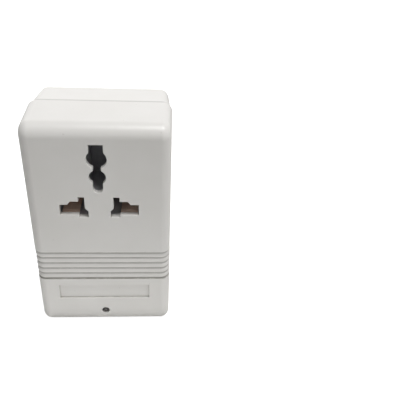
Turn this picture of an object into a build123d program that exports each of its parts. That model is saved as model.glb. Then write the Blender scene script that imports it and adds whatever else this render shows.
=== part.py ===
from build123d import *
import os
from math import pi, sqrt, tan

# Travel voltage converter: a palm-sized plug-in box that holds a small mains transformer.
# A three-pin universal socket is in the front; two flat plug blades and a sliding selector are in the back.
# Frame: +X is right seen from the socket face, +Y points out of the back, +Z is up.
# The origin is the centre of the flat lower end, which the converter stands on.

# Housing, all sizes in millimetres
housing_width = 53.5
housing_height = 91.0
housing_depth = 42.0
front_casing_depth = 22.0
wall = 2.0
front_side_draft = 0.6
front_top_draft = 0.6
rear_side_draft = 1.0
rear_top_draft = 0.9
seam_step = 0.45
front_end_round = 5.0
front_side_round = 3.5
rear_end_round = 4.6
rear_side_round = 3.6
seam_edge_break = 0.3
rebate_skin = 0.9
rebate_depth = 1.6
rebate_gap = 0.1
overrun = 1.0

# Decorative band of rounded ribs that rings the housing: a valley lies below, between and above the ribs
valley_count = 6
valley_pitch = 2.56
lowest_valley_height = 24.1
valley_width = 0.5
valley_depth = 0.4
rib_crest_drop = 0.06
rib_radius = 1.6
rib_root_depth = 0.9
opening_round = 0.2
well_round = 0.3
flatness = 0.01

# Recesses and holes in the socket face
nameplate_width = 36.2
nameplate_height = 6.8
nameplate_level = 17.1
nameplate_depth = 0.7
indicator_level = 6.7
indicator_hole_diameter = 3.1

# Universal socket: heights are given from the line of the two lower contacts, which hangs from the top end
earth_top_margin = 7.4
flat_slot_height = 4.4
flat_slot_reach = 14.5
blade_slot_start = 5.25
blade_slot_width = 2.3
blade_slot_rise = 5.4
shoulder_rise = 3.55
shoulder_reach = 10.6
shoulder_slant = 0.9
foot_start = 4.05
foot_width = 3.6
foot_drop = 3.2
foot_shoulder_drop = 0.6
foot_slant = 1.15
earth_slot_rise = 26.6
earth_slot_width = 5.1
earth_upper_rise = 20.9
earth_upper_diameter = 7.3
earth_waist_width = 2.9
earth_lower_rise = 13.7
earth_lower_diameter = 6.1
earth_foot_width = 3.7
earth_foot_rise = 7.3

# Case screws, their wells in the rear casing and posts in the front casing
screw_spacing = 37.0
lower_screw_level = 8.7
upper_screw_drop = 10.7
well_diameter = 5.8
well_wall = 1.4
well_depth = 14.0
well_floor = 1.6
well_hole_diameter = 3.0
post_diameter = 7.0
post_web_thickness = 1.2
post_web_setback = 4.0
pilot_diameter = 2.66
case_screw_diameter = 2.6
case_screw_length = 12.0
case_screw_head_diameter = 4.8
case_screw_head_height = 1.9
pilot_extra_depth = 2.0
screw_recess_width = 2.6
screw_recess_depth = 1.1
screw_recess_thickness = 0.7
screw_point_length = 1.6
screw_point_share = 0.25

# Plug insert, blades and voltage selector slot in the back
blade_spacing = 12.7
blade_width = 6.35
blade_thickness = 1.5
blade_projection = 17.0
blade_inset = 1.7
blade_tip_taper = 1.9
blade_tip_thinning = 0.45
blade_round = 0.25
blade_shank_depth = 6.8
blade_tab_width = 3.2
blade_tab_length = 4.7
blade_tab_hole = 1.4
insert_width = 24.0
insert_height = 17.2
insert_top_drop = 7.9
insert_corner = 1.5
insert_gap = 0.1
insert_flange_margin = 1.9
insert_flange_thickness = 1.6
blade_boss_wall = 0.9
blade_boss_depth = 3.0
blade_gap = 0.05
selector_slot_width = 10.2
selector_slot_height = 4.3
selector_drop = 3.95

# Voltage selector switch behind the insert
selector_travel = 3.5
knob_width = 6.4
knob_side_gap = 0.2
knob_proud = 0.7
knob_crown = 0.5
knob_rib_count = 3
knob_rib_pitch = 1.3
knob_rib_width = 0.5
knob_rib_depth = 0.35
slider_width = 9.8
slider_height = 5.2
slider_thickness = 1.0
switch_sheet = 0.5
switch_width = 16.0
switch_height = 6.9
switch_body_depth = 6.9
switch_wall = 1.1
switch_floor = 2.4
switch_gap = 0.1
frame_ear = 2.6
frame_side_drop = 4.2
ear_hole_diameter = 1.7
ear_pin_diameter = 1.5
ear_pin_head_diameter = 2.4
ear_pin_head_height = 0.6
terminal_row_spacing = 3.2
terminal_width = 1.4
terminal_thickness = 0.5
terminal_pad_height = 0.4
terminal_tail = 3.0
bridge_width = 1.2
bridge_thickness = 0.3
bridge_foot = 1.2
bridge_lift = 0.1
switch_tray_wall = 0.8

# Contact carrier and socket contacts behind the front wall
carrier_room = 25.0
carrier_side_wall = 2.15
carrier_post_room = 1.8
carrier_bottom_wall = 1.25
carrier_shoulder_wall = 1.85
carrier_top_wall = 1.4
carrier_corner = 1.2
carrier_floor = 1.0
pocket_margin = 0.35
contact_sheet = 0.6
contact_leaf_width = 6.4
contact_leaf_centre = 10.9
contact_leaf_gap = 4.6
contact_leaf_setback = 0.6
contact_flare = 0.45
contact_flare_length = 1.4
contact_tab_width = 3.0
contact_tab_length = 5.0
cover_thickness = 1.4
cover_post_inset = 3.9
cover_post_rise = 15.0
cover_post_diameter = 4.6
cover_post_gap = 0.3
cover_screw_diameter = 2.2
cover_screw_length = 6.0
cover_screw_head_diameter = 4.0
cover_screw_head_height = 1.4
cover_recess_width = 2.2
cover_pilot_diameter = 2.26
cover_hole_diameter = 2.5
slot_clearance = 0.15

# Transformer: core plates of the usual proportions, as large as the room below the carrier lets
core_width_share = 6
core_height_share = 5
core_window_share = 3
core_side_room = 4.8
core_depth_room = 11.5
core_carrier_gap = 2.85
core_bottom = 15.2
core_joint_gap = 0.02
cradle_rib_thickness = 1.6
cradle_rib_inset = 3.0
core_strap_width = 12.0
core_strap_thickness = 0.8
core_strap_tab = 4.0
core_gap = 0.05
bobbin_wall = 0.9
bobbin_flange = 1.0
bobbin_clearance = 0.15
primary_share = 0.32
tape_thickness = 0.2
secondary_share = 0.28
winding_gap = 0.05
pin_bar_height = 3.0
pin_bar_depth = 4.2
pin_bar_end = 1.6
pin_diameter = 0.8
pin_height = 4.7
pin_spacing_share = 0.483
pin_places = (-3, -2, -1, 1, 2, 3)
thermal_fuse_width = 5.0
thermal_fuse_thickness = 2.3
thermal_fuse_length_share = 0.488
thermal_fuse_drop_share = 0.367
thermal_fuse_round = 0.6
thermal_fuse_leg_share = 0.25
thermal_fuse_leg_diameter = 0.6
thermal_fuse_leg_rise = 2.0

# Indicator lamp on its small board
board_width = 18.0
board_height = 8.4
board_thickness = 1.2
board_bottom = 2.8
board_standoff = 5.6
board_rib_thickness = 1.6
board_rib_spacing = 13.4
lamp_diameter = 3.0
lamp_flange_diameter = 3.8
lamp_flange_thickness = 1.0
lamp_length = 5.2
lamp_setback = 0.4
lamp_leg_spacing = 2.54
lamp_leg_width = 0.5
lamp_nose_flat = 0.15
lamp_hole_diameter = 0.8
resistor_diameter = 2.3
resistor_length = 6.2
resistor_level_rise = 6.9
diode_diameter = 2.5
diode_length = 4.8
diode_level_rise = 1.9
component_leg_diameter = 0.6
component_leg_reach = 1.6
component_shift = 2.6
component_lift = 0.1
component_round_share = 0.2

# Round sticker and wires
sticker_diameter = 10.0
sticker_thickness = 0.12
sticker_level = 12.6
lead_diameter = 1.5
lamp_lead_diameter = 1.2
lead_bend_share = 0.45
inner_lane_gap = 3.6
outer_lane_gap = 4.8
output_lead_bulge = 1.6
output_lead_drop = 13.0
output_lead_reach = 6.5
tap_turn_rise = 6.9
high_tap_drop = 14.8
lead_end_gap = 0.05
lamp_turn_rise = 5.9
lamp_turn_step = 2.0
lamp_lane_gap = 1.8
lamp_plus_lane = 5.2
lamp_minus_lane = 7.4
lamp_lead_rise = 6.6

# Places worked out from the sizes above
front_face = -housing_depth / 2
back_face = housing_depth / 2
seam = front_face + front_casing_depth
front_inside = front_face + wall
back_inside = back_face - wall
pin_line = housing_height - earth_top_margin - earth_slot_rise
screw_reach = screw_spacing / 2
upper_screw_level = housing_height - upper_screw_drop
well_bottom = back_face - well_depth
post_top = well_bottom - well_floor
carrier_back = front_inside + housing_depth - carrier_room
carrier_bottom = pin_line - foot_drop - pocket_margin - carrier_bottom_wall
carrier_shoulder = pin_line + blade_slot_rise + pocket_margin + carrier_shoulder_wall
carrier_top = pin_line + earth_slot_rise + carrier_top_wall
carrier_lower_half_width = flat_slot_reach + pocket_margin + carrier_side_wall
carrier_upper_half_width = screw_reach - post_diameter / 2 - carrier_post_room
cover_post_reach = carrier_upper_half_width - cover_post_inset
cover_post_level = pin_line + cover_post_rise
cover_back = carrier_back + cover_thickness
core_unit = min((carrier_bottom - core_carrier_gap - core_bottom) / core_height_share,
                (housing_width - 2 * core_side_room) / core_width_share)
core_stack = housing_depth - 2 * core_depth_room
core_width = core_width_share * core_unit
core_height = core_height_share * core_unit
core_front = -core_stack / 2
core_back = core_stack / 2
window_bottom = core_bottom + core_unit
window_height = core_window_share * core_unit
cradle_rib_reach = (core_width - core_unit) / 2
insert_bottom = housing_height - insert_top_drop - insert_height
insert_middle = insert_bottom + insert_height / 2
selector_level = insert_bottom + insert_height - selector_drop
blade_reach = blade_spacing / 2
blade_bottom = insert_bottom + blade_inset
blade_middle = blade_bottom + blade_width / 2
blade_tab_end = back_face - blade_shank_depth - blade_tab_length
flange_back = back_inside
flange_front = back_inside - insert_flange_thickness
switch_top = flange_front - switch_sheet
switch_bottom = switch_top - switch_body_depth
selector_rest = selector_travel / 2
board_front = front_inside + board_standoff
board_back = board_front + board_thickness
ear_centre = switch_width / 2 + frame_ear / 2
primary_outer = bobbin_wall + winding_gap + primary_share * core_unit
tape_outer = primary_outer + winding_gap + tape_thickness
secondary_outer = tape_outer + winding_gap + secondary_share * core_unit
flange_half_depth = core_back + bobbin_clearance + secondary_outer + winding_gap
pin_spacing = pin_spacing_share * core_unit
pin_depth = flange_half_depth - pin_bar_depth / 2
pin_seat = window_bottom + window_height - bobbin_clearance
pin_top = pin_seat + pin_height
terminal_tail_end = switch_bottom - terminal_tail
contact_tab_end = carrier_back - carrier_floor + contact_tab_length
screw_levels = (lower_screw_level, upper_screw_level)
screw_places = [(side * screw_reach, level) for side in (-1, 1) for level in screw_levels]


def block(x0, x1, y0, y1, z0, z1):
    """Box between two opposite corners."""
    return Pos((x0 + x1) / 2, (y0 + y1) / 2, (z0 + z1) / 2) * Box(x1 - x0, y1 - y0, z1 - z0)


def rod(x, z, y0, y1, diameter):
    """Round bar along the depth, between two depths."""
    return Pos(x, (y0 + y1) / 2, z) * Rot(90, 0, 0) * Cylinder(diameter / 2, y1 - y0)


def upright_rod(x, y, z0, z1, diameter):
    """Round bar along the height."""
    return Pos(x, y, (z0 + z1) / 2) * Cylinder(diameter / 2, z1 - z0)


def cross_rod(y, z, x0, x1, diameter):
    """Round bar along the width."""
    return Pos((x0 + x1) / 2, y, z) * Rot(0, 90, 0) * Cylinder(diameter / 2, x1 - x0)


def prism(outline, y0, y1):
    """Solid between two depths over an outline drawn as width and height."""
    drawing = Plane(origin=(0, y1, 0), x_dir=(1, 0, 0), z_dir=(0, -1, 0))
    return extrude(drawing * outline, y1 - y0)


def side_prism(outline, x0, x1):
    """Solid between two widths over an outline drawn as depth and height."""
    drawing = Plane(origin=(x0, 0, 0), x_dir=(0, 1, 0), z_dir=(1, 0, 0))
    return extrude(drawing * outline, x1 - x0)


def plan_prism(outline, z0, z1):
    """Solid between two heights over an outline drawn as width and depth."""
    return extrude(Pos(0, 0, z0) * outline, z1 - z0)


def outline_of(points):
    """Closed flat outline through corner points."""
    return make_face(Polyline(points + points[:1]))


def mirrored(shape):
    """The same shape on the other side of the middle plane."""
    return mirror(shape, about=Plane.YZ)


def casing_form(is_front, inset):
    """Soap-bar form of one casing, drafted to its outer face; an inset gives the inner form."""
    if is_front:
        face_depth, step = front_face + inset, 0
        side_draft, top_draft = front_side_draft, front_top_draft
        end_round, side_round = front_end_round - inset, front_side_round - inset
    else:
        face_depth, step = back_face - inset, seam_step
        side_draft, top_draft = rear_side_draft, rear_top_draft
        end_round, side_round = rear_end_round - inset, rear_side_round - inset

    def section(depth, side_loss, top_loss):
        half_width = housing_width / 2 - step - inset - side_loss
        top = housing_height - step - inset - top_loss
        corners = [(-half_width, depth, -overrun), (half_width, depth, -overrun),
                   (half_width, depth, top), (-half_width, depth, top)]
        return Face(Wire(Polyline(corners + corners[:1]).edges()))

    form = loft([section(seam, 0, 0), section(face_depth, side_draft, top_draft)], ruled=True)
    reach = housing_width + housing_height
    form &= block(-reach, reach, -reach, reach, inset, reach)
    by_depth = form.faces().sort_by(Axis.Y)
    outer_face = by_depth[0] if is_front else by_depth[-1]
    form = fillet(outer_face.edges().filter_by(Axis.X), end_round)
    side_edges = []
    for side_face in (form.faces().sort_by(Axis.X)[0], form.faces().sort_by(Axis.X)[-1]):
        for edge in side_face.edges():
            if abs(edge.center().Y - seam) > inset + wall or edge.length < housing_height / 2:
                side_edges.append(edge)
    return fillet(side_edges, side_round)


def outer_path(is_front, overshoot):
    """Plan line round the outside of one casing, continued past the seam by an overshoot."""
    if is_front:
        step, draft, round_size, side, face_depth = 0, front_side_draft, front_side_round, 1, front_face
    else:
        step, draft, round_size, side, face_depth = seam_step, rear_side_draft, rear_side_round, -1, back_face
    half_width = housing_width / 2 - step
    slope = draft / (face_depth - seam)
    past = overshoot if is_front else -overshoot
    wide = side * (half_width - slope * past)
    narrow = side * (half_width - draft)
    corners = [(wide, seam + past), (narrow, face_depth), (-narrow, face_depth), (-wide, seam + past)]
    return FilletPolyline(*corners, radius=round_size)


def rib_profile():
    """Cross-section of one rounded rib: local x runs up the casing and local y runs into it."""
    half = sqrt(rib_radius ** 2 - (rib_radius - rib_root_depth + rib_crest_drop) ** 2)
    crest = ThreePointArc((-half, rib_root_depth), (0, rib_crest_drop), (half, rib_root_depth))
    return make_face([crest, Line((half, rib_root_depth), (-half, rib_root_depth))])


def rib_band_cutter(is_front):
    """Ring that sinks the rib band into a casing and leaves the rounded ribs standing."""
    reach = housing_width + overrun
    bottom = lowest_valley_height - valley_width / 2
    top = lowest_valley_height + (valley_count - 1) * valley_pitch + valley_width / 2
    cutter = block(-reach, reach, -reach, reach, bottom, top) - casing_form(is_front, valley_depth)
    path = outer_path(is_front, overrun)
    for number in range(valley_count - 1):
        middle = lowest_valley_height + valley_pitch / 2 + number * valley_pitch
        line = Pos(0, 0, middle) * path
        start = Plane(origin=line @ 0, x_dir=(0, 0, 1), z_dir=line % 0)
        cutter -= sweep(start * rib_profile(), path=line)
    return cutter


def live_slot():
    """Opening for one lower pin: upright blade slot, flat slot and foot joined in one outline."""
    blade_slot_end = blade_slot_start + blade_slot_width
    half_height = flat_slot_height / 2
    foot_end = foot_start + foot_width
    return outline_of([
        (blade_slot_start, pin_line + blade_slot_rise),
        (blade_slot_end, pin_line + blade_slot_rise),
        (blade_slot_end, pin_line + shoulder_rise),
        (shoulder_reach, pin_line + shoulder_rise),
        (shoulder_reach + shoulder_slant, pin_line + half_height),
        (flat_slot_reach, pin_line + half_height),
        (flat_slot_reach, pin_line - half_height),
        (foot_end, pin_line - half_height),
        (foot_end, pin_line - foot_drop),
        (foot_start, pin_line - foot_drop),
        (foot_start, pin_line - foot_shoulder_drop),
        (blade_slot_start, pin_line - foot_shoulder_drop + foot_slant),
    ])


def tall_strip(width, bottom, top):
    """Upright rectangle centred on the middle line."""
    return Pos(0, (bottom + top) / 2) * Rectangle(width, top - bottom)


def earth_opening():
    """Keyhole for the earth pin: square top, two round holes with a waist, round foot."""
    upper = pin_line + earth_upper_rise
    lower = pin_line + earth_lower_rise
    foot_middle = pin_line + earth_foot_rise + earth_foot_width / 2
    opening = tall_strip(earth_slot_width, upper, pin_line + earth_slot_rise)
    opening += Pos(0, upper) * Circle(earth_upper_diameter / 2)
    opening += tall_strip(earth_waist_width, lower, upper)
    opening += Pos(0, lower) * Circle(earth_lower_diameter / 2)
    opening += tall_strip(earth_foot_width, foot_middle, lower)
    opening += Pos(0, foot_middle) * Circle(earth_foot_width / 2)
    return opening


def build_front_casing():
    """Front shell with socket openings, posts, cradle ribs and the rebate for the rear tongue."""
    shell = casing_form(True, 0)
    seam_rim = shell.faces().sort_by(Axis.Y)[-1].edges()
    shell = chamfer(seam_rim.filter_by(lambda edge: edge.center().Z > wall), seam_edge_break)
    shell -= casing_form(True, wall)
    reach = housing_width + housing_height
    rim_slab = block(-reach, reach, seam - rebate_depth, seam + overrun, -reach, reach)
    shell -= casing_form(True, rebate_skin) & rim_slab
    shell -= rib_band_cutter(True)
    root = front_inside - wall / 2
    for x, z in screw_places:
        shell += rod(x, z, root, post_top, post_diameter) + post_webs(x, z)
        pilot_end = well_bottom - case_screw_length - pilot_extra_depth
        shell -= rod(x, z, pilot_end, post_top, pilot_diameter)
    rib_bottom = core_bottom + cradle_rib_inset
    rib_top = core_bottom + core_height - cradle_rib_inset
    for side in (-1, 1):
        shell += upright_rib(side * cradle_rib_reach, cradle_rib_thickness, root, core_front,
                             rib_bottom, rib_top)
        shell += upright_rib(side * board_rib_spacing / 2, board_rib_thickness, root, board_front,
                             front_end_round, board_bottom + board_height)
        x = side * cover_post_reach
        shell += rod(x, cover_post_level, root, carrier_back, cover_post_diameter)
        pilot_end = cover_back - cover_screw_length - pilot_extra_depth
        shell -= rod(x, cover_post_level, pilot_end, carrier_back, cover_pilot_diameter)
    before_face = front_face - overrun
    for opening in (live_slot(), mirrored(live_slot()), earth_opening()):
        shell -= prism(opening, before_face, front_inside)
    shell -= rod(0, indicator_level, before_face, front_inside, indicator_hole_diameter)
    shell -= block(-nameplate_width / 2, nameplate_width / 2, before_face, front_face + nameplate_depth,
                   nameplate_level - nameplate_height / 2, nameplate_level + nameplate_height / 2)
    return fillet(rim_edges(shell, front_face), opening_round)


def rim_edges(shell, depth):
    """Edges of every hole and recess in the flat faces at one depth."""
    edges = []
    for face in shell.faces().filter_by(Axis.Y):
        if abs(face.center().Y - depth) < flatness:
            for wire in face.inner_wires():
                edges += wire.edges()
    return edges


def upright_rib(x, thickness, y0, y1, z0, z1):
    """Plain stiffening rib that stands on the inside of a casing."""
    return block(x - thickness / 2, x + thickness / 2, y0, y1, z0, z1)


def post_webs(x, z):
    """Two webs that tie a screw post to the side wall and to the end wall beside it."""
    web_front = front_face + front_end_round
    web_back = seam - post_web_setback
    side_wall = housing_width / 2 - front_side_draft - wall / 2
    side_wall = side_wall if x > 0 else -side_wall
    end_wall = housing_height - front_top_draft - wall / 2 if z > housing_height / 2 else wall / 2
    half = post_web_thickness / 2
    webs = block(min(x, side_wall), max(x, side_wall), web_front, web_back, z - half, z + half)
    webs += block(x - half, x + half, web_front, web_back, min(z, end_wall), max(z, end_wall))
    return webs


def insert_outline(margin):
    """Rounded rectangle of the plug insert, enlarged by a margin."""
    outline = RectangleRounded(insert_width + 2 * margin, insert_height + 2 * margin, insert_corner + margin)
    return Pos(0, insert_middle) * outline


def build_rear_casing():
    """Rear shell with screw wells, the insert window and the tongue that fits the front rebate."""
    shell = casing_form(False, 0) - casing_form(False, wall)
    shell -= rib_band_cutter(False)
    reach = housing_width + housing_height
    tongue_slab = block(-reach, reach, seam - rebate_depth + rebate_gap, seam, -reach, reach)
    tongue = (casing_form(True, rebate_skin + rebate_gap) - casing_form(True, wall)) & tongue_slab
    shell += tongue
    root = back_inside + wall / 2
    for x, z in screw_places:
        shell += rod(x, z, post_top, root, well_diameter + 2 * well_wall)
        shell -= rod(x, z, well_bottom, back_face + overrun, well_diameter)
        shell -= rod(x, z, post_top, well_bottom, well_hole_diameter)
    shell = fillet(rim_edges(shell, back_face), well_round)
    for side in (-1, 1):
        shell += upright_rib(side * cradle_rib_reach, cradle_rib_thickness, core_back, root,
                             core_bottom + cradle_rib_inset, core_bottom + core_height - cradle_rib_inset)
    shell -= prism(insert_outline(insert_gap), back_inside, back_face + overrun)
    return shell


def blade_section(margin):
    """Cross-section of one blade, enlarged by a margin, on the middle line of the blades."""
    return Pos(0, blade_middle) * Rectangle(blade_thickness + 2 * margin, blade_width + 2 * margin)


def build_plug_insert():
    """Blade carrier: flush plate, hidden flange, a boss round each blade, two pins for the switch frame."""
    plate = prism(insert_outline(0), back_inside, back_face)
    plate += prism(insert_outline(insert_flange_margin), flange_front, flange_back)
    for side in (-1, 1):
        x = side * blade_reach
        boss_front = flange_front - blade_boss_depth
        plate += prism(Pos(x, 0) * blade_section(blade_boss_wall), boss_front, flange_front)
        plate -= prism(Pos(x, 0) * blade_section(blade_gap), boss_front, back_face)
        plate += rod(side * ear_centre, selector_level, switch_top, flange_front, ear_pin_diameter)
        plate += rod(side * ear_centre, selector_level, switch_top - ear_pin_head_height, switch_top,
                     ear_pin_head_diameter)
    slot = Pos(0, selector_level) * Rectangle(selector_slot_width, selector_slot_height)
    plate -= prism(slot, flange_front, back_face)
    return plate


def build_blade(side):
    """Flat plug blade with a tapered, thinned tip outside and a holed solder tab inside."""
    x = side * blade_reach
    top = blade_bottom + blade_width
    middle = blade_middle
    tip = back_face + blade_projection
    tab_end = blade_tab_end
    shank_end = tab_end + blade_tab_length
    half_tab = blade_tab_width / 2
    profile = outline_of([
        (tab_end, middle - half_tab), (shank_end, middle - half_tab), (shank_end, blade_bottom),
        (tip - blade_tip_taper, blade_bottom), (tip, blade_bottom + blade_tip_taper / 2),
        (tip, top - blade_tip_taper / 2), (tip - blade_tip_taper, top),
        (shank_end, top), (shank_end, middle + half_tab), (tab_end, middle + half_tab),
    ])
    half = blade_thickness / 2
    blade = side_prism(profile, x - half, x + half)
    tip_half = half - blade_tip_thinning
    thinning = outline_of([
        (x - half, tab_end), (x + half, tab_end), (x + half, tip - blade_tip_taper),
        (x + tip_half, tip), (x - tip_half, tip), (x - half, tip - blade_tip_taper),
    ])
    blade &= plan_prism(thinning, blade_bottom, top)
    long_edges = blade.edges().filter_by(Axis.Y)
    blade = fillet(long_edges.filter_by(lambda edge: edge.center().Y > back_face), blade_round)
    hole_depth = tab_end + blade_tab_width / 2
    return blade - cross_rod(hole_depth, middle, x - half, x + half, blade_tab_hole)


def build_selector_knob():
    """Selector knob: crowned, ribbed head that stands in the slot, on a wide slider plate."""
    slider_top = switch_top - switch_gap
    slider_bottom = slider_top - slider_thickness
    head_height = selector_slot_height - 2 * knob_side_gap
    crown_top = back_face + knob_proud
    shoulder = crown_top - knob_crown
    half = knob_width / 2
    crown = make_face([
        Line((-half, slider_bottom), (half, slider_bottom)),
        Line((half, slider_bottom), (half, shoulder)),
        ThreePointArc((half, shoulder), (0, crown_top), (-half, shoulder)),
        Line((-half, shoulder), (-half, slider_bottom)),
    ])
    knob = plan_prism(crown, selector_level - head_height / 2, selector_level + head_height / 2)
    groove_floor = crown_top - knob_crown / 2 - knob_rib_depth
    for number in range(knob_rib_count):
        x = (number - (knob_rib_count - 1) / 2) * knob_rib_pitch
        knob -= block(x - knob_rib_width / 2, x + knob_rib_width / 2, groove_floor, crown_top + overrun,
                      selector_level - head_height, selector_level + head_height)
    knob += block(-slider_width / 2, slider_width / 2, slider_bottom, slider_top,
                  selector_level - slider_height / 2, selector_level + slider_height / 2)
    return Pos(selector_rest, 0, 0) * knob


def build_selector_contact():
    """Two bent spring strips under the slider; each bridges two neighbouring terminals."""
    top = switch_top - switch_gap - slider_thickness
    pad_top = switch_bottom + switch_floor + terminal_pad_height
    bottom = pad_top + bridge_lift
    span = selector_travel + terminal_width
    strips = []
    for row in (-1, 1):
        z = selector_level + row * terminal_row_spacing / 2
        low, high = z - bridge_width / 2, z + bridge_width / 2
        left = selector_rest - span / 2
        right = selector_rest + span / 2
        strip = block(left, right, top - bridge_thickness, top, low, high)
        for start in (left, right - bridge_thickness):
            strip += block(start, start + bridge_thickness, bottom, top, low, high)
        for start in (left, right - bridge_foot):
            strip += block(start, start + bridge_foot, bottom, bottom + bridge_thickness, low, high)
        strips.append(strip)
    return Compound(strips)


def terminal_places():
    """Width and height of the six switch terminals."""
    return [(column * selector_travel, selector_level + row * terminal_row_spacing / 2)
            for row in (-1, 1) for column in (-1, 0, 1)]


def build_switch_body():
    """Insulating switch base: an open tray with six slots in its floor for the terminals."""
    half_width = switch_width / 2
    half_height = switch_height / 2
    low, high = selector_level - half_height, selector_level + half_height
    tray = block(-half_width, half_width, switch_bottom, switch_top, low, high)
    room = half_width - switch_wall
    tray -= block(-room, room, switch_bottom + switch_floor, switch_top,
                  low + switch_tray_wall, high - switch_tray_wall)
    for x, z in terminal_places():
        tray -= block(x - terminal_width / 2 - blade_gap, x + terminal_width / 2 + blade_gap,
                      switch_bottom, switch_bottom + switch_floor,
                      z - terminal_thickness / 2 - blade_gap, z + terminal_thickness / 2 + blade_gap)
    return tray


def build_switch_terminals():
    """Six flat terminals: a pad on the tray floor and a tail out of its back."""
    pins = []
    pad_bottom = switch_bottom + switch_floor
    pad_top = pad_bottom + terminal_pad_height
    for x, z in terminal_places():
        left, right = x - terminal_width / 2, x + terminal_width / 2
        pin = block(left, right, terminal_tail_end, pad_bottom,
                    z - terminal_thickness / 2, z + terminal_thickness / 2)
        pin += block(left, right, pad_bottom, pad_top, z - bridge_width / 2, z + bridge_width / 2)
        pins.append(pin)
    return Compound(pins)


def build_switch_frame():
    """Bent sheet frame: slotted top plate with two holed ears and two sides that grip the tray."""
    top_back = flange_front
    inner = switch_height / 2 + switch_gap
    outer = inner + switch_sheet
    ear_reach = switch_width / 2 + frame_ear
    level = selector_level
    frame = block(-ear_reach, ear_reach, switch_top, top_back, level - inner, level + inner)
    half_side = switch_width / 2
    frame += block(-half_side, half_side, switch_top, top_back, level - outer, level + outer)
    side_end = switch_top - frame_side_drop
    for side in (-1, 1):
        near, far = level + side * inner, level + side * outer
        frame += block(-half_side, half_side, side_end, top_back, min(near, far), max(near, far))
        frame -= rod(side * ear_centre, selector_level, switch_top, top_back, ear_hole_diameter)
    slot = Pos(0, selector_level) * Rectangle(selector_slot_width, selector_slot_height)
    return frame - prism(slot, switch_top, top_back)


def cross_head_screw(seat, length, shank_diameter, head_diameter, head_height, recess_width, x, z):
    """Self-tapping screw with a rounded head on its seat, a cross recess and a conical point."""
    head_round = head_height / 2
    head = rod(x, z, seat, seat + head_height, head_diameter)
    head = fillet(head.edges().sort_by(Axis.Y)[-1], head_round)
    straight = length - screw_point_length
    shank = rod(x, z, seat - straight, seat, shank_diameter)
    point = Pos(x, seat - straight - screw_point_length / 2, z) * Rot(90, 0, 0)
    point *= Cone(shank_diameter / 2, screw_point_share * shank_diameter / 2, screw_point_length)
    screw = head + shank + point
    top = seat + head_height
    half_long, half_thin = recess_width / 2, screw_recess_thickness / 2
    screw -= block(x - half_long, x + half_long, top - screw_recess_depth, top, z - half_thin, z + half_thin)
    screw -= block(x - half_thin, x + half_thin, top - screw_recess_depth, top, z - half_long, z + half_long)
    return screw


def build_case_screws():
    """Four long screws from the wells into the posts."""
    return Compound([cross_head_screw(well_bottom, case_screw_length, case_screw_diameter,
                                      case_screw_head_diameter, case_screw_head_height, screw_recess_width,
                                      x, z) for x, z in screw_places])


def build_cover_screws():
    """Two short screws that hold the contact cover and carrier on the front casing."""
    return Compound([cross_head_screw(cover_back, cover_screw_length, cover_screw_diameter,
                                      cover_screw_head_diameter, cover_screw_head_height, cover_recess_width,
                                      side * cover_post_reach, cover_post_level) for side in (-1, 1)])


def carrier_outline():
    """Outline of the contact carrier: broad at the two lower pins, narrower round the earth pin."""
    outline = outline_of([
        (-carrier_lower_half_width, carrier_bottom), (carrier_lower_half_width, carrier_bottom),
        (carrier_lower_half_width, carrier_shoulder), (carrier_upper_half_width, carrier_shoulder),
        (carrier_upper_half_width, carrier_top), (-carrier_upper_half_width, carrier_top),
        (-carrier_upper_half_width, carrier_shoulder), (-carrier_lower_half_width, carrier_shoulder),
    ])
    return fillet(outline.vertices(), carrier_corner)


def pin_pocket():
    """Pocket behind one lower opening, a little larger than the opening."""
    left = foot_start - pocket_margin
    right = flat_slot_reach + pocket_margin
    bottom = pin_line - foot_drop - pocket_margin
    top = pin_line + blade_slot_rise + pocket_margin
    return Pos((left + right) / 2, (bottom + top) / 2) * Rectangle(right - left, top - bottom)


def earth_pocket():
    """Pocket behind the earth opening."""
    bottom = pin_line + earth_foot_rise - pocket_margin
    top = pin_line + earth_slot_rise + pocket_margin
    return tall_strip(earth_upper_diameter + 2 * pocket_margin, bottom, top)


def build_contact_carrier():
    """Deep moulded tray with one pocket for each pin and holes round the two posts."""
    tray = prism(carrier_outline(), front_inside, carrier_back)
    pocket_end = carrier_back - carrier_floor
    for pocket in (pin_pocket(), mirrored(pin_pocket()), earth_pocket()):
        tray -= prism(pocket, front_inside, pocket_end)
    for side in (-1, 1):
        x = side * cover_post_reach
        tray -= rod(x, cover_post_level, front_inside, carrier_back, cover_post_diameter + 2 * cover_post_gap)
        tray -= prism(Pos(side * contact_leaf_centre, pin_line) * tab_slot(), pocket_end, carrier_back)
    return tray


def tab_slot():
    """Slot that lets a contact tab through, with clearance all round."""
    return Rectangle(contact_tab_width + 2 * slot_clearance, contact_sheet + 2 * slot_clearance)


def build_contact_cover():
    """Flat plate that closes the back of the carrier."""
    plate = prism(carrier_outline(), carrier_back, cover_back)
    for side in (-1, 1):
        plate -= rod(side * cover_post_reach, cover_post_level, carrier_back, cover_back, cover_hole_diameter)
        plate -= prism(Pos(side * contact_leaf_centre, pin_line) * tab_slot(), carrier_back, cover_back)
    return plate


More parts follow.
